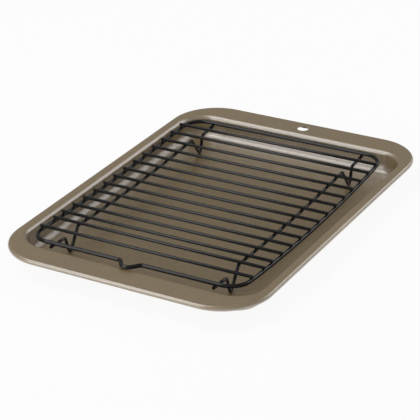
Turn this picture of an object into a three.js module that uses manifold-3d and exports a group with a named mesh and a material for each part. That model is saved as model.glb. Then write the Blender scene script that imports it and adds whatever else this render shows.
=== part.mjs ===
// A sheet pan with a wire rack standing loose in it. Millimetres, +Z up.
// The origin is the centre of the pan's underside, and +Y runs to the end with the hanging hole.
import * as THREE from "three";
import { mergeVertices } from "three/addons/utils/BufferGeometryUtils.js";
import Module from "manifold-3d";

// The pan: a drawn steel tray with a rolled edge.
const panWidth = 240; // along X, over the rolled edge
const panLength = 338; // along Y, over the rolled edge
const panCorner = 43; // corner radius of the rolled edge, seen from above
const sideRim = 6.2; // flat rim on the two long sides, from the edge to the lip
const endRim = 21.3; // flat rim on the two short ends
const mouthCorner = 28; // corner radius of the opening, at the lip
const panDepth = 19; // from the rim's top face down to the floor
const sheet = 0.8; // steel thickness
const wallLean = 9; // degrees that the walls lean out from upright
const lipRadius = 5; // bend from the rim into the wall
const floorRadius = 10; // bend from the wall into the floor
const curlRadius = 2.2; // outside radius of the rolled edge
const curlTurn = 215; // degrees that the edge is rolled through, which leaves the roll open
const holeDiameter = 10.5; // hanging hole in the far rim
const holeInset = 12.6; // from the far edge to the hole's centre

// The rack: a wire frame, two runners bent into legs, and cross wires on top.
const rackSideGap = 15.8; // from the pan's lip in to the centre of the frame's long wire
const rackEndGap = 15.2; // from the pan's lip in to the centre of the frame's short wire
const rackCorner = 17; // bend at the frame's corners, at the wire's centre
const rackSag = 4.9; // the rack's middle lies this much below its ends
const rackBow = 1.2; // the long wires swell outward this much at their middle
const rackShiftX = -2.8; // where the loose rack stands in the pan
const rackShiftY = -4;
const rackTurn = 0.4; // degrees
const frameWire = 3.5; // wire diameters
const crossWire = 2.8;
const runnerWire = 2.8;
const crossCount = 15;
const strayWire = 2; // this cross wire, counted from the near end, is welded out of step
const strayShift = 2.9; // and stands this much nearer to the far end
const crossEndGap = 19.1; // from the frame's short wire to the first cross wire
const crossOverhang = 1.7; // cross wire past the centre of the frame's long wire
const runnerInset = 22; // from the frame's long wire in to the runner
const runnerOverhang = 1.6; // runner's tip past the centre of the frame's short wire
const legHeight = 16.3; // runner's centre down to the foot's centre, at the inner bend
const footInset = 25.5; // foot back from the frame's short wire
const legInnerRun = 13; // foot to the inner bend, along Y
const legOuterRun = 6.2; // foot to the outer bend, along Y
const legBend = 3; // bends of the legs, at the wire's centre
const tabReach = 9.2; // the grip tab, bent outward in the near short wire
const tabWidth = 19.4; // between the corners at the tab's shoulders
const tabTip = 6.4; // between the corners at the tab's tip
const tabBend = 4;
const weldGap = 0.15; // between two wires that are welded where they cross
const seatGap = 0.3; // between the feet and the pan's floor

// How finely round shapes are cut.
const wireSides = 8;
const drillSides = 28;
const cornerSteps = 8;
const floorSteps = 5;
const lipSteps = 4;
const curlSteps = 6;
const bendStep = 20; // degrees
const sagStep = 17; // longest straight stretch along the sagging wires

const mergeWithin = 1e-4; // points closer than this are one point

const floorTop = sheet;
const rimTop = floorTop + panDepth;
const rackWidth = panWidth - 2 * (sideRim + rackSideGap);
const rackLength = panLength - 2 * (endRim + rackEndGap);
const runnerX = rackWidth / 2 - runnerInset;
const crossPitch = (rackLength - 2 * crossEndGap) / (crossCount - 1);
const deg = Math.PI / 180;

const wasm = await Module();
wasm.setup();

// A material in the part's own colour.
function finish(name, color, roughness, metalness) {
  return new THREE.MeshStandardMaterial({ name, color, roughness, metalness });
}
const panCoating = finish("bronze_nonstick", 0x8a7d66, 0.35, 0.8);
const wireCoating = finish("black_nonstick", 0x1c1c1e, 0.4, 0.2);

// A closed surface through rings of equal length, from a first cap to a last cap.
// With loop set, the last ring joins the first one and there are no caps.
function skin(rings, loop) {
  const sides = rings[0].length;
  const points = rings.flat();
  const faces = [];
  const joins = loop ? rings.length : rings.length - 1;
  for (let k = 0; k < joins; k++) {
    const here = k * sides;
    const next = ((k + 1) % rings.length) * sides;
    for (let i = 0; i < sides; i++) {
      const j = (i + 1) % sides;
      faces.push(here + i, next + i, next + j);
      faces.push(here + i, next + j, here + j);
    }
  }
  const last = (rings.length - 1) * sides;
  for (let i = 1; i < sides - 1 && !loop; i++) {
    faces.push(0, i, i + 1);
    faces.push(last, last + i + 1, last + i);
  }
  const geometry = new THREE.BufferGeometry().setFromPoints(points);
  geometry.setIndex(faces);
  return geometry;
}

// A rounded rectangle at height z, seen anticlockwise from above.
function roundedRing(halfX, halfY, radius, z) {
  const corners = [
    [1, -1, -90],
    [1, 1, 0],
    [-1, 1, 90],
    [-1, -1, 180],
  ];
  const ring = [];
  for (const [sx, sy, start] of corners) {
    for (let k = 0; k <= cornerSteps; k++) {
      const a = (start + (90 * k) / cornerSteps) * deg;
      const x = sx * (halfX - radius) + radius * Math.cos(a);
      const y = sy * (halfY - radius) + radius * Math.sin(a);
      ring.push(new THREE.Vector3(x, y, z));
    }
  }
  return ring;
}

// A ring of the opening, drawn in from the lip by inset.
function mouthRing(inset, z) {
  const halfX = panWidth / 2 - sideRim - inset;
  const halfY = panLength / 2 - endRim - inset;
  return roundedRing(halfX, halfY, mouthCorner - inset, z);
}

// A ring of the rolled edge, at an angle round the roll's own centre.
function curlRing(angle, radius) {
  const out = radius * Math.cos(angle * deg) - curlRadius;
  const z = rimTop - curlRadius + radius * Math.sin(angle * deg);
  return roundedRing(panWidth / 2 + out, panLength / 2 + out, panCorner + out, z);
}

// The rings from the floor up the wall to the rim, on the sheet's top face or, with depth, below it.
function wallRings(depth) {
  const lean = wallLean * deg;
  const lip = lipRadius - depth;
  const bowl = floorRadius + depth;
  const lipEnd = rimTop - lipRadius * (1 - Math.sin(lean));
  const bowlEnd = floorTop + floorRadius * (1 - Math.sin(lean));
  const run = (lipEnd - bowlEnd) * Math.tan(lean);
  const bowlCentre = (lipRadius + floorRadius) * Math.cos(lean) + run;
  const rings = [];
  for (let k = 0; k <= floorSteps; k++) {
    const a = ((90 - wallLean) * k * deg) / floorSteps;
    const z = floorTop + floorRadius - bowl * Math.cos(a);
    rings.push(mouthRing(bowlCentre - bowl * Math.sin(a), z));
  }
  for (let k = 0; k <= lipSteps; k++) {
    const a = (90 - wallLean) * (1 - k / lipSteps) * deg;
    rings.push(mouthRing(lip * Math.sin(a), rimTop - lipRadius + lip * Math.cos(a)));
  }
  return rings;
}

// The rings round the rolled edge, from the rim's face to the edge's end.
function curlRings(radius) {
  const rings = [];
  for (let k = 0; k <= curlSteps; k++) {
    rings.push(curlRing(90 - (curlTurn * k) / curlSteps, radius));
  }
  return rings;
}

// Geometry to a solid that can be cut, and back.
function solidOf(geometry) {
  const bare = geometry.clone();
  bare.deleteAttribute("normal");
  bare.deleteAttribute("uv");
  const merged = mergeVertices(bare, mergeWithin);
  const vertProperties = new Float32Array(merged.attributes.position.array);
  const triVerts = new Uint32Array(merged.index.array);
  return new wasm.Manifold(new wasm.Mesh({ numProp: 3, vertProperties, triVerts }));
}
function geometryOf(solid) {
  const cut = solid.getMesh();
  const geometry = new THREE.BufferGeometry();
  geometry.setAttribute("position", new THREE.BufferAttribute(cut.vertProperties, 3));
  geometry.setIndex(new THREE.BufferAttribute(cut.triVerts, 1));
  geometry.computeVertexNormals();
  return geometry;
}

function sheetPan() {
  const top = [...wallRings(0), ...curlRings(curlRadius)];
  const under = [...wallRings(sheet), ...curlRings(curlRadius - sheet)];
  const body = skin([...top, ...under.reverse()], false);
  const holeRadius = holeDiameter / 2;
  const drill = new THREE.CylinderGeometry(holeRadius, holeRadius, 2 * panDepth, drillSides);
  drill.rotateX(90 * deg);
  drill.translate(0, panLength / 2 - holeInset, rimTop);
  return geometryOf(solidOf(body).subtract(solidOf(drill)));
}

// A wire of round section along points. side is a direction that the wire never runs along.
function wire(points, diameter, side, loop) {
  const count = points.length;
  const rings = points.map((point, k) => {
    const before = points[loop ? (k + count - 1) % count : Math.max(k - 1, 0)];
    const after = points[loop ? (k + 1) % count : Math.min(k + 1, count - 1)];
    const into = point.clone().sub(before).normalize();
    const out = after.clone().sub(point).normalize();
    const along = into.add(out).normalize();
    const u = side.clone().addScaledVector(along, -side.dot(along)).normalize();
    const v = along.clone().cross(u);
    return Array.from({ length: wireSides }, (_, i) => {
      const a = (2 * Math.PI * i) / wireSides;
      const spot = point.clone().addScaledVector(u, (Math.cos(a) * diameter) / 2);
      return spot.addScaledVector(v, (Math.sin(a) * diameter) / 2);
    }).reverse();
  });
  return skin(rings, loop);
}

// Corner points, each with its bend radius, to a path with the bends as arcs.
function bent(corners, loop) {
  const count = corners.length;
  return corners.flatMap(([point, radius], k) => {
    const atEnd = !loop && (k === 0 || k === count - 1);
    if (atEnd || !radius) return [point];
    const into = point.clone().sub(corners[(k + count - 1) % count][0]).normalize();
    const out = corners[(k + 1) % count][0].clone().sub(point).normalize();
    const turn = into.angleTo(out);
    const reach = radius * Math.tan(turn / 2);
    const start = point.clone().addScaledVector(into, -reach);
    const inward = out.clone().addScaledVector(into, -out.dot(into)).normalize();
    const steps = Math.max(2, Math.ceil(turn / (bendStep * deg)));
    return Array.from({ length: steps + 1 }, (_, i) => {
      const a = (turn * i) / steps;
      const arc = start.clone().addScaledVector(into, radius * Math.sin(a));
      return arc.addScaledVector(inward, radius * (1 - Math.cos(a)));
    });
  });
}

// Heights of the rack, set by the feet on the pan's floor.
const halfRack = rackLength / 2;
const footY = halfRack - footInset;
const innerBendY = footY - legInnerRun;
const outerBendY = footY + legOuterRun;
const footZ = floorTop + seatGap + runnerWire / 2;
const halfWidthAt = (y) => rackWidth / 2 + rackBow * (1 - (y / halfRack) ** 2);
const sagAt = (y) => rackSag * (y / halfRack) ** 2;
const runnerZ = (y) => footZ + legHeight + sagAt(y) - sagAt(innerBendY);
const frameZ = (y) => runnerZ(y) + (runnerWire - frameWire) / 2;
const crossZ = (y) => runnerZ(y) + (runnerWire + crossWire) / 2 + weldGap;
const runnerEndZ = (y) => frameZ(y) - (frameWire + runnerWire) / 2 - weldGap;

// Evenly spaced places between two ends, with neither end.
function between(from, to, step) {
  const count = Math.ceil(Math.abs(to - from) / step);
  return Array.from({ length: count - 1 }, (_, i) => from + ((to - from) * (i + 1)) / count);
}

function rackFrame() {
  const halfX = rackWidth / 2;
  const stations = between(-halfRack + rackCorner, halfRack - rackCorner, sagStep);
  const flat = (x, y, radius) => [new THREE.Vector3(x, y, 0), radius];
  const outline = bent(
    [
      flat(-halfX, -halfRack, rackCorner),
      flat(-tabWidth / 2, -halfRack, tabBend),
      flat(-tabTip / 2, -halfRack - tabReach, tabBend),
      flat(tabTip / 2, -halfRack - tabReach, tabBend),
      flat(tabWidth / 2, -halfRack, tabBend),
      flat(halfX, -halfRack, rackCorner),
      ...stations.map((y) => flat(halfWidthAt(y), y, 0)),
      flat(halfX, halfRack, rackCorner),
      flat(-halfX, halfRack, rackCorner),
      ...stations.map((y) => flat(-halfWidthAt(y), -y, 0)),
    ],
    true,
  );
  for (const point of outline) point.z = frameZ(point.y);
  return wire(outline, frameWire, new THREE.Vector3(0, 0, 1), true);
}

// Where the two limbs of a leg would meet, if they ran on past the bend that rests on the floor.
// Places are (y, z); each limb starts at its upper bend and passes under the bend at its radius.
function limbMeeting(inner, outer) {
  const bendCentre = new THREE.Vector2(footY, footZ + legBend);
  const limb = (start, side) => {
    const toBend = bendCentre.clone().sub(start);
    const swing = side * Math.asin(legBend / toBend.length());
    return toBend.normalize().rotateAround(new THREE.Vector2(), swing);
  };
  const a = limb(inner, -1);
  const b = limb(outer, 1);
  const span = outer.clone().sub(inner);
  return inner.clone().addScaledVector(a, span.cross(b) / a.cross(b));
}

function runner(x) {
  const spot = (y, z, radius) => [new THREE.Vector3(x, y, z), radius];
  const tipY = halfRack + runnerOverhang;
  const inner = new THREE.Vector2(innerBendY, runnerZ(innerBendY));
  const outer = new THREE.Vector2(outerBendY, runnerEndZ(outerBendY));
  const meeting = limbMeeting(inner, outer);
  const leg = (sign) => [
    spot(sign * tipY, runnerEndZ(halfRack), 0),
    spot(sign * outer.x, outer.y, legBend),
    spot(sign * meeting.x, meeting.y, legBend),
    spot(sign * inner.x, inner.y, legBend),
  ];
  const middle = between(-innerBendY, innerBendY, sagStep).map((y) => spot(y, runnerZ(y), 0));
  const path = bent([...leg(-1), ...middle, ...leg(1).reverse()], false);
  return wire(path, runnerWire, new THREE.Vector3(1, 0, 0), false);
}

function crossBar(y) {
  const half = halfWidthAt(y) + crossOverhang;
  const ends = [-half, half].map((x) => new THREE.Vector3(x, y, crossZ(y)));
  return wire(ends, crossWire, new THREE.Vector3(0, 0, 1), false);
}

// One named piece.
function piece(name, geometry, material) {
  const mesh = new THREE.Mesh(geometry, material);
  mesh.name = name;
  return mesh;
}

const rack = new THREE.Group();
rack.position.set(rackShiftX, rackShiftY, 0);
rack.rotation.z = rackTurn * deg;
rack.add(piece("rack_frame", rackFrame(), wireCoating));
rack.add(piece("runner_left", runner(-runnerX), wireCoating));
rack.add(piece("runner_right", runner(runnerX), wireCoating));
for (let count = 1; count <= crossCount; count++) {
  const inStep = crossPitch * (count - (crossCount + 1) / 2);
  const y = count === strayWire ? inStep + strayShift : inStep;
  const number = String(count).padStart(2, "0");
  rack.add(piece("cross_wire_" + number, crossBar(y), wireCoating));
}

const assembly = new THREE.Group();
assembly.add(piece("sheet_pan", sheetPan(), panCoating), rack);

export default assembly;
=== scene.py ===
"""A bronze sheet pan with a black wire rack standing in it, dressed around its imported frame.

Metres, +Z up, with the origin at the centre of the pan's underside.
"""

import math

import bpy
from bpy.props import FloatProperty, FloatVectorProperty, PointerProperty
from mathutils import Matrix, Vector


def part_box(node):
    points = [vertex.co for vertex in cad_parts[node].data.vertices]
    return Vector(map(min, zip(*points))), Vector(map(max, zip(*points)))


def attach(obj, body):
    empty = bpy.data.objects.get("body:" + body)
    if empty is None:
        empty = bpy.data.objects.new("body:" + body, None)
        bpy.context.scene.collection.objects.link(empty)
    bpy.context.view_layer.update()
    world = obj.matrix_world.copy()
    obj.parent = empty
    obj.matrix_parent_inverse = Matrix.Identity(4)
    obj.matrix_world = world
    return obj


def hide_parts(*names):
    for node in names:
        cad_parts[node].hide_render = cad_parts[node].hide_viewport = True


bl_info = {
    "name": "Sheet Pan with Rack",
    "version": (1, 0, 0),
    "blender": (4, 5, 0),
    "location": "View3D > Sidebar > Bakeware",
    "description": "Models a drawn sheet pan, its wire rack and a plain studio around a packed frame",
    "category": "Object",
}

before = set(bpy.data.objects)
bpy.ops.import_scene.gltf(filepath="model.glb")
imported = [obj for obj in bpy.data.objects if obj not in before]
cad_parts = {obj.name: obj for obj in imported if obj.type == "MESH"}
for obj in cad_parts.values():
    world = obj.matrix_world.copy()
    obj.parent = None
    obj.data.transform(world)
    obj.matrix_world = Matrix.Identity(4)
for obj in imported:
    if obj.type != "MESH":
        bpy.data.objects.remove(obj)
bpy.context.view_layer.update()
pan_low, pan_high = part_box("sheet_pan")

CROSS_WIRES = sorted(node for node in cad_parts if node.startswith("cross_wire_"))
MIDDLE_WIRE = CROSS_WIRES[len(CROSS_WIRES) // 2]

# Places that differ by less are the same, and rows along the rack are told apart to as many decimals.
NEAR_ENOUGH = 1e-6
ROW_DECIMALS = 6

# Vertices of neighbouring surfaces that lie closer than this are joined.
SEAM = 1e-4

# A plane of this size reaches one metre each way, so its scale is half its length.
UNIT_SQUARE = 2

QUARTER_TURN = math.pi / 2


def size_of(node):
    """The lengths of a node's box."""
    low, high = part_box(node)
    return high - low


def middle_of(node):
    """The centre of a node's box."""
    low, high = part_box(node)
    return (low + high) / 2


def length(name, description, default):
    """A size in metres that a user can change."""
    return FloatProperty(name=name, description=description, default=default, unit="LENGTH", precision=5)


def angle(name, description, degrees):
    """An angle that a user can change."""
    return FloatProperty(name=name, description=description, default=math.radians(degrees), unit="ROTATION")


def share(name, description, default):
    """A number from 0 to 1 that a user can change."""
    return FloatProperty(name=name, description=description, default=default, min=0, max=1, subtype="FACTOR")


def colour(name, description, default):
    """A linear colour that a user can change."""
    return FloatVectorProperty(
        name=name, description=description, default=default, min=0, max=1, size=3, subtype="COLOR"
    )


class PanSizes(bpy.types.PropertyGroup):
    """Sizes of the drawn pan."""

    corner: length("Corner", "Radius of the rolled edge's corners, seen from above", 0.043)
    side_rim: length("Side Rim", "Flat rim on the long sides, from the edge to the lip", 0.0062)
    end_rim: length("End Rim", "Flat rim on the short ends, from the edge to the lip", 0.0213)
    mouth_corner: length("Mouth Corner", "Corner radius of the opening at the lip", 0.028)
    sheet: length("Sheet", "Thickness of the steel", 0.0008)
    wall_lean: angle("Wall Lean", "How far the walls lean out from upright", 9)
    lip_radius: length("Lip Radius", "Bend from the rim into the wall", 0.005)
    floor_radius: length("Floor Radius", "Bend from the wall into the floor", 0.010)
    roll_radius: length("Roll Radius", "Outside radius of the rolled edge", 0.0022)
    roll_under: angle("Roll Under", "How far the edge is rolled under, past its outermost line", 125)
    hole: length("Hanging Hole", "Diameter of the hanging hole", 0.0105)
    hole_inset: length("Hole Inset", "From the far edge to the hanging hole's centre", 0.0126)


class RackSizes(bpy.types.PropertyGroup):
    """Sizes of the wire rack."""

    width: length("Width", "Between the centres of the frame's long wires", 0.196)
    length: length("Length", "Between the centres of the frame's short wires", 0.265)
    corner: length("Corner", "Bend at the frame's corners", 0.017)
    sag: length("Sag", "How far the rack's middle lies below its ends", 0.0049)
    bow: length("Bow", "How far the long wires swell outward at their middle", 0.0012)
    turn: angle("Turn", "How far the loose rack is turned in the pan", 0.4)
    frame_wire: length("Frame Wire", "Diameter of the frame's wire", 0.0035)
    cross_wire: length("Cross Wire", "Diameter of the cross wires", size_of(MIDDLE_WIRE).z)
    runner_wire: length("Runner Wire", "Diameter of the runners' wire", 0.0028)
    leg_height: length("Leg Height", "Runner's centre down to the foot's centre", 0.0163)
    foot_inset: length("Foot Inset", "Foot back from the frame's short wire", 0.0255)
    leg_inner_run: length("Leg Inner Run", "Foot to the inner bend, along the runner", 0.013)
    leg_outer_run: length("Leg Outer Run", "Foot to the outer bend, along the runner", 0.0062)
    leg_bend: length("Leg Bend", "Bends of the legs", 0.003)
    runner_overhang: length("Runner Overhang", "Runner's tip past the frame's short wire", 0.0016)
    tab_reach: length("Tab Reach", "How far the grip tab stands out from the short wire", 0.0092)
    tab_width: length("Tab Width", "Between the corners at the grip tab's shoulders", 0.0194)
    tab_tip: length("Tab Tip", "Between the corners at the grip tab's tip", 0.0064)
    tab_bend: length("Tab Bend", "Bends of the grip tab", 0.004)
    weld_gap: length("Weld Gap", "Between two wires that are welded where they cross", 0.00015)


class Looks(bpy.types.PropertyGroup):
    """Colours and finishes."""

    bronze: colour("Bronze", "Main colour of the pan's coating", (0.256, 0.166, 0.054))
    bronze_dark: colour("Dark Bronze", "Darker patches of the pan's coating", (0.219, 0.140, 0.044))
    bronze_roughness: share("Bronze Roughness", "Roughness of the pan's coating", 0.24)
    black: colour("Black", "Main colour of the wires' coating", (0.003, 0.003, 0.0031))
    black_pale: colour("Pale Black", "Lighter patches of the wires' coating", (0.0077, 0.0077, 0.00789))
    black_roughness: share("Black Roughness", "Roughness of the wires' coating", 0.15)
    ground: colour("Ground", "Colour of the studio floor", (0.93, 0.93, 0.93))


class StudioSizes(bpy.types.PropertyGroup):
    """Where the camera stands and how the studio is lit."""

    azimuth: angle("Azimuth", "Camera's turn round the pan, from its near end", 30.917)
    elevation: angle("Elevation", "Camera's height over the horizon", 26.742)
    roll: angle("Roll", "Camera's turn about its own line of sight", -1.940)
    distance: length("Distance", "Camera to the point that it looks at", 1.4908)
    aim_x: length("Aim X", "Across, to the point that the camera looks at", 0.0045)
    aim_y: length("Aim Y", "Along, to the point that the camera looks at", -0.0225)
    focal: FloatProperty(
        name="Focal Length", description="Camera's lens", default=151.91, min=1, unit="CAMERA"
    )
    sky_near: share("Near Sky", "Strength of the sky over the pan's near end", 0.50)
    sky_far: share("Far Sky", "Strength of the sky over the pan's far end", 0.22)
    floor_white: share("Floor White", "How much of the floor's white stays in the object's shadow", 0.92)


# Modelling helpers, each used as by hand in the 3D view.


def start_fresh():
    """Leaves edit mode and clears the selection."""
    if bpy.context.object and bpy.context.object.mode != "OBJECT":
        bpy.ops.object.mode_set(mode="OBJECT")
    bpy.ops.object.select_all(action="DESELECT")


def pick(piece):
    """Makes a piece the active one, and the only one selected."""
    start_fresh()
    piece.select_set(True)
    bpy.context.view_layer.objects.active = piece


def edit(mode="VERT"):
    """Enters edit mode on the active piece."""
    bpy.ops.object.mode_set(mode="EDIT")
    bpy.ops.mesh.select_mode(type=mode)


def leave():
    """Goes back to object mode."""
    bpy.ops.object.mode_set(mode="OBJECT")


def choose(test, mode="VERT"):
    """In edit mode, selects the active piece's vertices whose place passes the test, and nothing else."""
    bpy.ops.mesh.select_mode(type="VERT")
    bpy.ops.mesh.select_all(action="DESELECT")
    leave()
    for vertex in bpy.context.object.data.vertices:
        vertex.select = test(vertex.co)
    edit(mode)


def near(a, b):
    """Whether two numbers are the same."""
    return abs(a - b) < NEAR_ENOUGH


def settle():
    """Puts the active piece's place, turn and scale into its mesh."""
    bpy.ops.object.transform_apply(location=True, rotation=True, scale=True)


def dress(piece, name, body, slot, material, *nodes):
    """Names a finished piece, gives it its material and ties it to the frame."""
    piece.name = name
    piece.data.name = name
    piece.data.materials.clear()
    piece.data.materials.append(material)
    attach(piece, body)
    if nodes:
        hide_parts(*nodes)


def smooth(piece, degrees):
    """Shades a piece smooth, apart from edges sharper than the angle."""
    pick(piece)
    bpy.ops.object.shade_smooth_by_angle(angle=math.radians(degrees))


# Materials.


BRONZE_FINISH = {
    "Metallic": 0.05,
    "Specular IOR Level": 0.3,
    "Coat Weight": 1.0,
    "Coat Roughness": 0.34,
    "Coat IOR": 2.7,
}
FLAKE_SHADE = (0.80, 0.81, 0.84)
FLAKE_GLINT = (1.18, 1.16, 1.12)
BLACK_FINISH = {"Specular IOR Level": 0.36}
SMOOTHER_BY = 0.04
ROUGHER_BY = 0.05


class Nodes:
    """A material's node tree, with short ways to add and join nodes."""

    def __init__(self, name):
        self.material = bpy.data.materials.new(name)
        self.material.use_nodes = True
        self.tree = self.material.node_tree
        self.tree.nodes.clear()
        self.shader = self.add("ShaderNodeBsdfPrincipled")
        output = self.add("ShaderNodeOutputMaterial")
        self.join(self.shader.outputs["BSDF"], output.inputs["Surface"])

    def add(self, kind, **settings):
        """A node of that kind, with sockets or attributes set by name."""
        node = self.tree.nodes.new(kind)
        for key, value in settings.items():
            if key in node.inputs:
                node.inputs[key].default_value = value
            else:
                setattr(node, key, value)
        return node

    def join(self, output, socket):
        """Links an output to an input."""
        self.tree.links.new(output, socket)

    def noise(self, scale, detail=2.0, roughness=0.5):
        """A noise pattern over the object's own coordinates."""
        place = self.add("ShaderNodeTexCoord")
        noise = self.add("ShaderNodeTexNoise", Scale=scale, Detail=detail, Roughness=roughness)
        self.join(place.outputs["Object"], noise.inputs["Vector"])
        return noise.outputs["Fac"]

    def ramp(self, source, low, high, dark, light):
        """A colour that goes from dark to light as the source goes from low to high."""
        ramp = self.add("ShaderNodeValToRGB")
        first, last = ramp.color_ramp.elements
        first.position = low
        last.position = high
        first.color = (*dark, 1)
        last.color = (*light, 1)
        self.join(source, ramp.inputs["Fac"])
        return ramp.outputs["Color"]

    def spread(self, source, low, high):
        """A number from low to high, following the source."""
        spread = self.add("ShaderNodeMapRange")
        spread.inputs["To Min"].default_value = low
        spread.inputs["To Max"].default_value = high
        self.join(source, spread.inputs["Value"])
        return spread.outputs["Result"]

    def bump(self, source, strength, distance, below=None):
        """A bump from the source, over another bump where one is given."""
        bump = self.add("ShaderNodeBump", Strength=strength, Distance=distance)
        self.join(source, bump.inputs["Height"])
        if below is not None:
            self.join(below, bump.inputs["Normal"])
        return bump.outputs["Normal"]

    def uneven(self, source, roughness):
        """Lets the shader's roughness vary about its value, following the source."""
        varied = self.spread(source, roughness - SMOOTHER_BY, roughness + ROUGHER_BY)
        self.join(varied, self.shader.inputs["Roughness"])

    def finish(self, values):
        """Sets the shader's own sockets by name."""
        for name, value in values.items():
            self.shader.inputs[name].default_value = value


def bronze_coating(looks):
    """Satin bronze non-stick coating with fine metal flakes and a faint orange peel."""
    coat = Nodes("bronze_nonstick")
    patches = coat.noise(scale=14, detail=4)
    tone = coat.ramp(patches, low=0.3, high=0.7, dark=looks.bronze_dark, light=looks.bronze)
    flakes = coat.noise(scale=420, detail=5, roughness=0.75)
    sparkle = coat.ramp(flakes, low=0.3, high=0.7, dark=FLAKE_SHADE, light=FLAKE_GLINT)
    mixed = coat.add("ShaderNodeMix", data_type="RGBA", blend_type="MULTIPLY")
    mixed.inputs["Factor"].default_value = 1
    coat.join(tone, mixed.inputs["A"])
    coat.join(sparkle, mixed.inputs["B"])
    coat.join(mixed.outputs["Result"], coat.shader.inputs["Base Color"])
    coat.uneven(patches, looks.bronze_roughness)
    waves = coat.noise(scale=9, detail=1)
    dents = coat.bump(waves, strength=0.05, distance=0.002)
    peel = coat.noise(scale=700)
    skin = coat.bump(peel, strength=0.06, distance=0.0002, below=dents)
    coat.join(skin, coat.shader.inputs["Normal"])
    coat.finish(BRONZE_FINISH)
    return coat.material


def black_coating(looks):
    """Black non-stick coating on wire, slightly uneven, with a soft gloss."""
    coat = Nodes("black_nonstick")
    patches = coat.noise(scale=90, detail=3)
    tone = coat.ramp(patches, low=0.35, high=0.75, dark=looks.black, light=looks.black_pale)
    coat.join(tone, coat.shader.inputs["Base Color"])
    coat.uneven(patches, looks.black_roughness)
    lumps = coat.noise(scale=260)
    dips = coat.bump(lumps, strength=0.04, distance=0.0004)
    grain = coat.noise(scale=2600)
    skin = coat.bump(grain, strength=0.05, distance=0.00005, below=dips)
    coat.join(skin, coat.shader.inputs["Normal"])
    coat.finish(BLACK_FINISH)
    return coat.material


def once(name, make, looks):
    """The material of that name, made the first time that it is asked for."""
    return bpy.data.materials.get(name) or make(looks)


# The pan.


# Faces round each bend. The rolled edge has as many as stated on each quarter turn.
CORNER_STEPS = 20
ROLL_STEPS = 9
LIP_STEPS = 9
FLOOR_STEPS = 12
HOLE_SIDES = 64

# A narrow ring of faces that keeps a flat's shading flat up to the bend beside it.
HOLDING_EDGE = 0.0005

# The drill that cuts the hole is this many sheets long.
DRILL_SHEETS = 8

# Edges of the pan that are sharper than this many degrees stay sharp.
PAN_CREASE = 40


def rounded_face(half_x, half_y, z, corner):
    """In edit mode, adds a flat face with round corners and leaves it selected."""
    bpy.ops.mesh.primitive_plane_add(size=UNIT_SQUARE, location=(0, 0, z))
    bpy.ops.transform.resize(value=(half_x, half_y, 1), center_override=(0, 0, z))
    bpy.ops.mesh.bevel(offset_type="OFFSET", offset=corner, segments=CORNER_STEPS, affect="VERTICES")
    bpy.ops.mesh.select_mode(type="FACE")


def draw_in(profile, facing=1):
    """Insets the selected face along a profile of (inset, height), one ring for each step."""
    for (inset, z), (next_inset, next_z) in zip(profile, profile[1:]):
        bpy.ops.mesh.inset(thickness=next_inset - inset, depth=facing * (next_z - z))


def roll_profile(radius, z, sweep):
    """(inset, height) round the rolled edge, from its outermost line through the angle."""
    steps = max(1, math.ceil(abs(sweep) / QUARTER_TURN * ROLL_STEPS))
    turns = [sweep * k / steps for k in range(steps + 1)]
    return [(radius * (1 - math.cos(turn)), z + radius * math.sin(turn)) for turn in turns]


def wall_profile(pan, rim_top, floor_top):
    """(inset, height) from the lip down the wall and round into the floor."""
    upright = QUARTER_TURN - pan.wall_lean
    lip_end = rim_top - pan.lip_radius * (1 - math.cos(upright))
    bend_start = floor_top + pan.floor_radius * (1 - math.cos(upright))
    run = (lip_end - bend_start) * math.tan(pan.wall_lean)
    bend_centre = (pan.lip_radius + pan.floor_radius) * math.sin(upright) + run
    profile = []
    for k in range(LIP_STEPS + 1):
        turn = upright * k / LIP_STEPS
        profile.append((pan.lip_radius * math.sin(turn), rim_top - pan.lip_radius * (1 - math.cos(turn))))
    for k in range(FLOOR_STEPS + 1):
        turn = upright * (1 - k / FLOOR_STEPS)
        inset = bend_centre - pan.floor_radius * math.sin(turn)
        profile.append((inset, floor_top + pan.floor_radius * (1 - math.cos(turn))))
    profile.append((bend_centre + HOLDING_EDGE, floor_top))
    return profile


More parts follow.
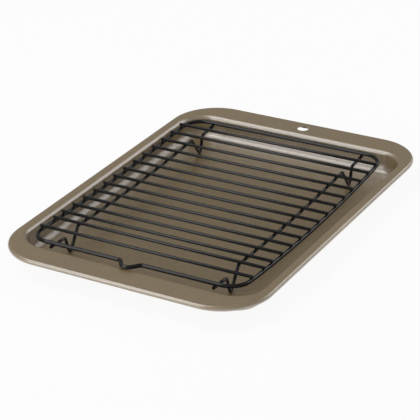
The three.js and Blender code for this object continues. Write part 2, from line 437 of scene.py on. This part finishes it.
class BAKEWARE_OT_sheet_pan(bpy.types.Operator):
    """Models the drawn pan: rolled edge, flat rim, leaning walls, floor and hanging hole"""

    bl_idname = "bakeware.sheet_pan"
    bl_label = "Sheet Pan"

    def execute(self, context):
        pan = context.scene.pan_sizes
        half_x = (pan_high.x - pan_low.x) / 2
        half_y = (pan_high.y - pan_low.y) / 2
        rim_top = pan_high.z
        roll_z = rim_top - pan.roll_radius
        mouth = (half_x - pan.side_rim, half_y - pan.end_rim)

        start_fresh()
        bpy.ops.mesh.primitive_plane_add(size=UNIT_SQUARE)
        piece = context.object
        edit()
        bpy.ops.mesh.delete(type="VERT")

        flat = (half_x - pan.roll_radius, half_y - pan.roll_radius)
        rounded_face(*flat, rim_top, pan.corner - pan.roll_radius)
        bpy.ops.mesh.delete(type="ONLY_FACE")
        rounded_face(*mouth, rim_top, pan.mouth_corner)
        bpy.ops.mesh.delete(type="ONLY_FACE")
        bpy.ops.mesh.select_mode(type="EDGE")
        bpy.ops.mesh.select_all(action="SELECT")
        bpy.ops.mesh.bridge_edge_loops()
        bpy.ops.mesh.select_mode(type="FACE")
        bpy.ops.mesh.inset(thickness=HOLDING_EDGE, depth=0)

        rounded_face(half_x, half_y, roll_z, pan.corner)
        draw_in(roll_profile(pan.roll_radius, roll_z, QUARTER_TURN))
        bpy.ops.mesh.delete(type="FACE")
        rounded_face(half_x, half_y, roll_z, pan.corner)
        bpy.ops.mesh.flip_normals()
        draw_in(roll_profile(pan.roll_radius, roll_z, -pan.roll_under), facing=-1)
        bpy.ops.mesh.delete(type="FACE")

        rounded_face(*mouth, rim_top, pan.mouth_corner)
        draw_in(wall_profile(pan, rim_top, pan_low.z + pan.sheet))

        bpy.ops.mesh.select_all(action="SELECT")
        bpy.ops.mesh.remove_doubles(threshold=SEAM)
        leave()
        self.thicken(piece, pan)
        self.punch(piece, pan, half_y, rim_top)
        smooth(piece, PAN_CREASE)
        material = once("bronze_nonstick", bronze_coating, context.scene.looks)
        dress(piece, "pan_shell", "pan", "pan_coating", material, "sheet_pan")
        return {"FINISHED"}

    def thicken(self, piece, pan):
        """Gives the drawn surface the steel's thickness, under its top face."""
        wall = piece.modifiers.new("Sheet", "SOLIDIFY")
        wall.thickness = pan.sheet
        wall.offset = -1
        wall.use_even_offset = True
        bpy.ops.object.modifier_apply(modifier=wall.name)

    def punch(self, piece, pan, half_y, rim_top):
        """Cuts the hanging hole through the far rim."""
        place = (0, half_y - pan.hole_inset, rim_top)
        start_fresh()
        bpy.ops.mesh.primitive_cylinder_add(
            vertices=HOLE_SIDES, radius=pan.hole / 2, depth=DRILL_SHEETS * pan.sheet, location=place
        )
        drill = bpy.context.object
        pick(piece)
        cut = piece.modifiers.new("Hole", "BOOLEAN")
        cut.object = drill
        bpy.ops.object.modifier_apply(modifier=cut.name)
        bpy.data.objects.remove(drill)


# The rack.


# A curve's bevel of this roundness has as many sides as the cylinders are given.
WIRE_ROUNDNESS = 6
WIRE_SIDES = 4 + 2 * WIRE_ROUNDNESS

# Stretches round each bend and along the sag of the long wires.
BEND_STEPS = 8
SAG_STEPS = 24

# Points that the near wire is cut at, for the grip tab's two shoulders and its tip's two corners.
TAB_POINTS = 4

# A wire's cut ends are rounded over this share of its radius. Its other faces have four sides.
TIP_ROUND = 0.6
TIP_STEPS = 3
QUAD_SIDES = 4

# Edges of the wires that are sharper than this many degrees stay sharp.
WIRE_CREASE = 60

# A weld bead's radius and the height of its steps, as shares of the cross wire's diameter, and how far it
# narrows at each step down to its waist.
BEAD_SIDES = 12
BEAD_RADIUS = 0.45
BEAD_STEP = 0.16
BEAD_NARROWS = (0.78, 0.9)


class RackHeights:
    """Heights along the rack, set by its feet and its sag."""

    def __init__(self, rack):
        self.rack = rack
        self.half = rack.length / 2
        self.foot_y = self.half - rack.foot_inset
        self.inner_y = self.foot_y - rack.leg_inner_run
        self.outer_y = self.foot_y + rack.leg_outer_run
        self.foot_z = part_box("runner_left")[0].z + rack.runner_wire / 2

    def sag(self, y):
        """How far the rack lies above its lowest place."""
        return self.rack.sag * (y / self.half) ** 2

    def runner(self, y):
        """The runner's centre, between the legs."""
        return self.foot_z + self.rack.leg_height + self.sag(y) - self.sag(self.inner_y)

    def frame(self, y):
        """The frame's centre, whose top is level with the runners' top."""
        return self.runner(y) + (self.rack.runner_wire - self.rack.frame_wire) / 2

    def runner_end(self, y):
        """The runner's centre past its legs, under the frame's short wire."""
        return self.frame(y) - (self.rack.frame_wire + self.rack.runner_wire) / 2 - self.rack.weld_gap

    def half_width(self, y):
        """Half the rack's width, with the bow of its long wires."""
        return self.rack.width / 2 + self.rack.bow * (1 - (y / self.half) ** 2)


def place_rack(piece, rack):
    """Moves a piece from the rack's own axes to where the rack stands in the pan."""
    middle = middle_of(MIDDLE_WIRE)
    piece.rotation_euler.z = rack.turn
    piece.location = (middle.x, middle.y, 0)
    pick(piece)
    settle()


def runner_spacing():
    """How far apart the two runners lie."""
    return (middle_of("runner_right") - middle_of("runner_left")).length


def dress_wire(piece, name, *nodes):
    """Finishes a piece of the rack. They all have the same coating."""
    material = once("black_nonstick", black_coating, bpy.context.scene.looks)
    dress(piece, name, "rack", "wire_coating", material, *nodes)


def draw_wire(piece, diameter):
    """Turns a piece made of edges into a round wire with closed ends."""
    pick(piece)
    bpy.ops.object.convert(target="CURVE")
    line = bpy.context.object.data
    line.bevel_depth = diameter / 2
    line.bevel_resolution = WIRE_ROUNDNESS
    line.use_fill_caps = True
    bpy.ops.object.convert(target="MESH")
    return bpy.context.object


def round_tips(piece, diameter):
    """Rounds the wire's cut ends, which are the only faces with many corners."""
    pick(piece)
    edit("FACE")
    bpy.ops.mesh.select_all(action="DESELECT")
    bpy.ops.mesh.select_face_by_sides(number=QUAD_SIDES, type="GREATER")
    bpy.ops.mesh.bevel(
        offset=TIP_ROUND * diameter / 2, segments=TIP_STEPS, affect="EDGES", clamp_overlap=True
    )
    leave()


def bend(test, offset):
    """Rounds the chosen corners of a path, starting at that distance from each corner."""
    choose(test)
    bpy.ops.mesh.bevel(offset_type="OFFSET", offset=offset, segments=BEND_STEPS, affect="VERTICES")


def raise_rows(piece, height_at):
    """Moves each row of a path, at one place along the rack, up to its height."""
    rows = sorted({round(vertex.co.y, ROW_DECIMALS) for vertex in piece.data.vertices})
    edit()
    for y in rows:
        choose(lambda place: near(place.y, y))
        bpy.ops.transform.translate(value=(0, 0, height_at(y)))
    leave()


class BAKEWARE_OT_rack_frame(bpy.types.Operator):
    """Models the rack's wire frame, with its sag, its bow and its grip tab"""

    bl_idname = "bakeware.rack_frame"
    bl_label = "Rack Frame"

    def execute(self, context):
        rack = context.scene.rack_sizes
        heights = RackHeights(rack)
        half_x = rack.width / 2
        half_y = heights.half

        start_fresh()
        bpy.ops.mesh.primitive_plane_add(size=UNIT_SQUARE)
        piece = context.object
        piece.scale = (half_x, half_y, 1)
        settle()
        edit("EDGE")
        bpy.ops.mesh.delete(type="ONLY_FACE")
        choose(lambda place: place.y < 0, "EDGE")
        bpy.ops.mesh.subdivide(number_cuts=TAB_POINTS)
        self.pull_tab(rack, half_x, half_y)
        bend(lambda place: near(abs(place.x), half_x), rack.corner)
        self.bow_sides(heights, half_x)
        leave()
        raise_rows(piece, heights.frame)
        place_rack(piece, rack)
        piece = draw_wire(piece, rack.frame_wire)
        smooth(piece, WIRE_CREASE)
        dress_wire(piece, "frame_wire", "rack_frame")
        return {"FINISHED"}

    def pull_tab(self, rack, half_x, half_y):
        """Moves the near wire's cut points, one and three half spaces from its middle, into the grip tab."""
        shoulder = rack.tab_width / 2
        tip = rack.tab_tip / 2
        half_space = half_x / (TAB_POINTS + 1)
        for side in (-1, 1):
            for halves, x, reach in ((3, shoulder, 0), (1, tip, rack.tab_reach)):
                start = side * halves * half_space
                choose(lambda place: near(place.y, -half_y) and near(place.x, start))
                bpy.ops.transform.translate(value=(side * x - start, -reach, 0))
        slope = math.atan2(rack.tab_reach, shoulder - tip)
        corner = rack.tab_bend * math.tan(slope / 2)
        bend(lambda place: near(abs(place.x), shoulder) or near(abs(place.x), tip), corner)

    def bow_sides(self, heights, half_x):
        """Cuts the long wires into short stretches and swells them outward."""
        straight = heights.half - heights.rack.corner
        choose(lambda place: near(abs(place.x), half_x), "EDGE")
        bpy.ops.mesh.subdivide(number_cuts=SAG_STEPS - 1)
        for k in range(1, SAG_STEPS):
            y = straight * (2 * k / SAG_STEPS - 1)
            for side in (-1, 1):
                choose(lambda place: near(place.x, side * half_x) and near(place.y, y))
                bpy.ops.transform.translate(value=(side * (heights.half_width(y) - half_x), 0, 0))


class BAKEWARE_OT_rack_runners(bpy.types.Operator):
    """Models the two runners, each bent into a leg near both ends"""

    bl_idname = "bakeware.rack_runners"
    bl_label = "Rack Runners"

    def execute(self, context):
        rack = context.scene.rack_sizes
        heights = RackHeights(rack)
        for side, node in ((-1, "runner_left"), (1, "runner_right")):
            piece = self.path(rack, heights, side * runner_spacing() / 2)
            place_rack(piece, rack)
            piece = draw_wire(piece, rack.runner_wire)
            round_tips(piece, rack.runner_wire)
            smooth(piece, WIRE_CREASE)
            dress_wire(piece, node + "_wire", node)
        return {"FINISHED"}

    def corners(self, rack, heights):
        """The leg's corner places (y, z), from the runner's tip to its inner bend."""
        inner = Vector((heights.inner_y, heights.runner(heights.inner_y)))
        outer = Vector((heights.outer_y, heights.runner_end(heights.outer_y)))
        tip = Vector((heights.half + rack.runner_overhang, heights.runner_end(heights.half)))
        return [tip, outer, self.foot(rack, heights, inner, outer), inner]

    def foot(self, rack, heights, inner, outer):
        """Where the leg's two limbs would meet, if they ran on past the bend that rests on the floor."""
        centre = Vector((heights.foot_y, heights.foot_z + rack.leg_bend))

        def limb(start, side):
            to_bend = centre - start
            swing = side * math.asin(rack.leg_bend / to_bend.length)
            return Matrix.Rotation(swing, 2) @ to_bend.normalized()

        a = limb(inner, -1)
        b = limb(outer, 1)
        span = outer - inner
        return inner + a * (span.cross(b) / a.cross(b))

    def path(self, rack, heights, x):
        """The runner's line, drawn by pulling out one point and then bent at its corners."""
        leg = self.corners(rack, heights)
        near_leg = [Vector((-place.x, place.y)) for place in leg]
        steps = range(1, SAG_STEPS)
        rows = [heights.inner_y * (2 * k / SAG_STEPS - 1) for k in steps]
        middle = [Vector((y, heights.runner(y))) for y in rows]
        places = [*near_leg, *middle, *reversed(leg)]

        start_fresh()
        bpy.ops.mesh.primitive_plane_add(size=rack.runner_wire, location=(x, *places[0]))
        piece = bpy.context.object
        settle()
        edit()
        bpy.ops.mesh.select_all(action="SELECT")
        bpy.ops.mesh.merge(type="CENTER")
        for place, following in zip(places, places[1:]):
            pull = following - place
            bpy.ops.mesh.extrude_region_move(TRANSFORM_OT_translate={"value": (0, *pull)})
        for before, corner, after in zip(leg, leg[1:], [*leg[2:], middle[-1]]):
            turn = (corner - before).angle(after - corner)
            reach = rack.leg_bend * math.tan(turn / 2)
            bend(lambda place: near(abs(place.y), corner.x) and near(place.z, corner.y), reach)
        leave()
        return piece


class BAKEWARE_OT_cross_wires(bpy.types.Operator):
    """Models the straight wires on top of the rack"""

    bl_idname = "bakeware.cross_wires"
    bl_label = "Cross Wires"

    def execute(self, context):
        rack = context.scene.rack_sizes
        model_length = size_of(MIDDLE_WIRE).x
        start_fresh()
        bpy.ops.mesh.primitive_cylinder_add(
            vertices=WIRE_SIDES, radius=rack.cross_wire / 2, depth=model_length
        )
        model = context.object
        model.rotation_euler.y = QUARTER_TURN
        settle()
        round_tips(model, rack.cross_wire)
        smooth(model, WIRE_CREASE)
        for node in CROSS_WIRES:
            piece = model.copy()
            piece.data = model.data.copy()
            context.collection.objects.link(piece)
            piece.scale.x = size_of(node).x / model_length
            piece.rotation_euler.z = rack.turn
            piece.location = middle_of(node)
            pick(piece)
            settle()
            dress_wire(piece, node.replace("cross_wire", "top_wire"), node)
        bpy.data.objects.remove(model)
        return {"FINISHED"}


class BAKEWARE_OT_weld_beads(bpy.types.Operator):
    """Models the small fillets where the wires are welded together"""

    bl_idname = "bakeware.weld_beads"
    bl_label = "Weld Beads"

    def execute(self, context):
        rack = context.scene.rack_sizes
        model = self.bead(rack)
        beads = []
        for place in self.places(rack):
            bead = model.copy()
            bead.data = model.data.copy()
            bead.location = place
            context.collection.objects.link(bead)
            beads.append(bead)
        bpy.data.objects.remove(model)
        start_fresh()
        for bead in beads:
            bead.select_set(True)
        context.view_layer.objects.active = beads[0]
        settle()
        bpy.ops.object.join()
        piece = context.object
        place_rack(piece, rack)
        smooth(piece, WIRE_CREASE)
        dress_wire(piece, "weld_beads")
        return {"FINISHED"}

    def places(self, rack):
        """Where two wires touch, in the rack's own axes. Over the legs, no cross wire touches a runner."""
        heights = RackHeights(rack)
        middle = middle_of(MIDDLE_WIRE)
        runner_x = runner_spacing() / 2
        weld_over_runner = (rack.runner_wire + rack.weld_gap) / 2
        found = []
        for node in CROSS_WIRES:
            away = middle_of(node) - middle
            y = math.copysign(away.length, away.y)
            z = heights.runner(y) + weld_over_runner
            for side in (-1, 1):
                found.append((side * heights.half_width(y), y, z))
                if abs(y) <= heights.inner_y:
                    found.append((side * runner_x, y, z))
        for y in (-heights.half, heights.half):
            z = heights.runner_end(y) + weld_over_runner
            found.extend((side * runner_x, y, z) for side in (-1, 1))
        return found

    def bead(self, rack):
        """One fillet, narrow at its waist, with its middle at the origin."""
        radius = BEAD_RADIUS * rack.cross_wire
        step = BEAD_STEP * rack.cross_wire
        bottom = -len(BEAD_NARROWS) * step
        widens = [1 / narrow for narrow in reversed(BEAD_NARROWS)]
        start_fresh()
        bpy.ops.mesh.primitive_circle_add(
            vertices=BEAD_SIDES, radius=radius, fill_type="NGON", location=(0, 0, bottom)
        )
        bead = bpy.context.object
        settle()
        edit("FACE")
        bpy.ops.mesh.select_all(action="SELECT")
        for scale in (*BEAD_NARROWS, *widens):
            bpy.ops.mesh.extrude_region_move(TRANSFORM_OT_translate={"value": (0, 0, step)})
            bpy.ops.transform.resize(value=(scale, scale, 1))
        bpy.ops.mesh.select_all(action="SELECT")
        bpy.ops.mesh.normals_make_consistent(inside=False)
        leave()
        return bead


# The studio.


# The floor lies just under the pan, so that the two faces don't share one height.
GROUND_SIZE = 12
GROUND_CELLS = 8
GROUND_GAP = 0.0002
PAPER_FINISH = {"Roughness": 0.9, "Specular IOR Level": 0.1}

# Each lamp is a rectangle that faces the pan, so wide across and so high along its tilt.
LAMPS = {
    "front_left": {"place": (-0.643, -1.10, 0.60), "across": 0.45, "along": 1.25, "watts": 5.0},
    "over_left": {"place": (-0.643, -0.16, 1.23), "across": 0.90, "along": 0.70, "watts": 5.0},
    "behind_right": {"place": (0.62, 1.06, 0.76), "across": 1.30, "along": 0.75, "watts": 4.8},
}


class BAKEWARE_OT_studio(bpy.types.Operator):
    """Sets the pale floor, the soft lamps and the camera"""

    bl_idname = "bakeware.studio"
    bl_label = "Studio"

    def execute(self, context):
        self.ground(context)
        self.sky(context)
        for name, settings in LAMPS.items():
            self.lamp(context, name, **settings)
        self.camera(context)
        context.scene.view_settings.view_transform = "Standard"
        return {"FINISHED"}

    def ground(self, context):
        """A wide pale floor, white to the eye and in reflections, that keeps a faint shadow."""
        start_fresh()
        bpy.ops.mesh.primitive_grid_add(
            x_subdivisions=GROUND_CELLS, y_subdivisions=GROUND_CELLS, size=GROUND_SIZE
        )
        ground = context.object
        ground.name = "studio_floor"
        paper = Nodes("studio_floor")
        paper.shader.inputs["Base Color"].default_value = (*context.scene.looks.ground, 1)
        paper.finish(PAPER_FINISH)
        self.whiten(paper, context.scene.studio_sizes.floor_white)
        ground.data.materials.append(paper.material)
        ground.location.z = pan_low.z - GROUND_GAP
        settle()

    def whiten(self, paper, amount):
        """Mixes white into the paper where the eye, a reflection or a clear thing looks at it."""
        white = paper.add("ShaderNodeEmission", Strength=1)
        path = paper.add("ShaderNodeLightPath")
        seen = path.outputs["Is Camera Ray"]
        for ray in ("Is Glossy Ray", "Is Transmission Ray"):
            either = paper.add("ShaderNodeMath", operation="MAXIMUM")
            paper.join(seen, either.inputs[0])
            paper.join(path.outputs[ray], either.inputs[1])
            seen = either.outputs["Value"]
        part = paper.spread(seen, 0, amount)
        mix = paper.add("ShaderNodeMixShader")
        output = paper.tree.nodes["Material Output"]
        paper.join(part, mix.inputs["Fac"])
        paper.join(paper.shader.outputs["BSDF"], mix.inputs[1])
        paper.join(white.outputs["Emission"], mix.inputs[2])
        paper.join(mix.outputs["Shader"], output.inputs["Surface"])

    def sky(self, context):
        """Soft light from all round, which fades from the pan's near end to its far end."""
        studio = context.scene.studio_sizes
        world = bpy.data.worlds.new("studio_sky")
        context.scene.world = world
        world.use_nodes = True
        tree = world.node_tree
        light = tree.nodes["Background"]
        light.inputs["Color"].default_value = (1, 1, 1, 1)
        place = tree.nodes.new("ShaderNodeTexCoord")
        parts = tree.nodes.new("ShaderNodeSeparateXYZ")
        fade = tree.nodes.new("ShaderNodeMapRange")
        # The sky's Y runs from -1 over the near end to 1 over the far end.
        fade.inputs["From Min"].default_value = -1
        fade.inputs["To Min"].default_value = studio.sky_near
        fade.inputs["To Max"].default_value = studio.sky_far
        tree.links.new(place.outputs["Generated"], parts.inputs["Vector"])
        tree.links.new(parts.outputs["Y"], fade.inputs["Value"])
        tree.links.new(fade.outputs["Result"], light.inputs["Strength"])

    def lamp(self, context, name, place, across, along, watts):
        """A rectangular soft lamp that faces the pan."""
        light = bpy.data.lights.new(name, "AREA")
        light.shape = "RECTANGLE"
        light.size = across
        light.size_y = along
        light.energy = watts
        lamp = bpy.data.objects.new(name, light)
        lamp.location = place
        lamp.rotation_euler = (-Vector(place)).to_track_quat("-Z", "Y").to_euler()
        context.collection.objects.link(lamp)

    def camera(self, context):
        """A long lens at the photograph's angle."""
        studio = context.scene.studio_sizes
        lens = bpy.data.cameras.new("camera")
        lens.lens = studio.focal
        camera = bpy.data.objects.new("camera", lens)
        context.collection.objects.link(camera)
        aim = Vector((studio.aim_x, studio.aim_y, pan_high.z - context.scene.pan_sizes.roll_radius))
        swing = Matrix.Rotation(studio.azimuth, 3, "Z")
        tilt = Matrix.Rotation(QUARTER_TURN - studio.elevation, 3, "X")
        roll = Matrix.Rotation(studio.roll, 3, "Z")
        turn = swing @ tilt @ roll
        back = turn @ Vector((0, 0, 1))
        camera.matrix_world = Matrix.Translation(aim + studio.distance * back) @ turn.to_4x4()
        context.scene.camera = camera


GROUPS = {
    "pan_sizes": PanSizes,
    "rack_sizes": RackSizes,
    "looks": Looks,
    "studio_sizes": StudioSizes,
}
OPERATORS = (
    BAKEWARE_OT_sheet_pan,
    BAKEWARE_OT_rack_frame,
    BAKEWARE_OT_rack_runners,
    BAKEWARE_OT_cross_wires,
    BAKEWARE_OT_weld_beads,
    BAKEWARE_OT_studio,
)


class BAKEWARE_PT_sidebar(bpy.types.Panel):
    """The pieces in the order that they are made"""

    bl_label = "Sheet Pan with Rack"
    bl_idname = "BAKEWARE_PT_sidebar"
    bl_space_type = "VIEW_3D"
    bl_region_type = "UI"
    bl_category = "Bakeware"

    def draw(self, context):
        for operator in OPERATORS:
            self.layout.operator(operator.bl_idname)
        for name, kind in GROUPS.items():
            box = self.layout.box()
            for key in kind.__annotations__:
                box.prop(getattr(context.scene, name), key)


CLASSES = (*GROUPS.values(), *OPERATORS, BAKEWARE_PT_sidebar)


def register():
    """Makes the classes known, with their sizes kept on the scene."""
    for kind in CLASSES:
        bpy.utils.register_class(kind)
    for name, kind in GROUPS.items():
        setattr(bpy.types.Scene, name, PointerProperty(type=kind))


def unregister():
    """Takes the classes and their sizes away again."""
    for name in GROUPS:
        delattr(bpy.types.Scene, name)
    for kind in reversed(CLASSES):
        bpy.utils.unregister_class(kind)


def main():
    """Makes every piece and the studio."""
    register()
    bpy.ops.bakeware.sheet_pan()
    bpy.ops.bakeware.rack_frame()
    bpy.ops.bakeware.rack_runners()
    bpy.ops.bakeware.cross_wires()
    bpy.ops.bakeware.weld_beads()
    bpy.ops.bakeware.studio()
    start_fresh()


if __name__ == "__main__":
    main()
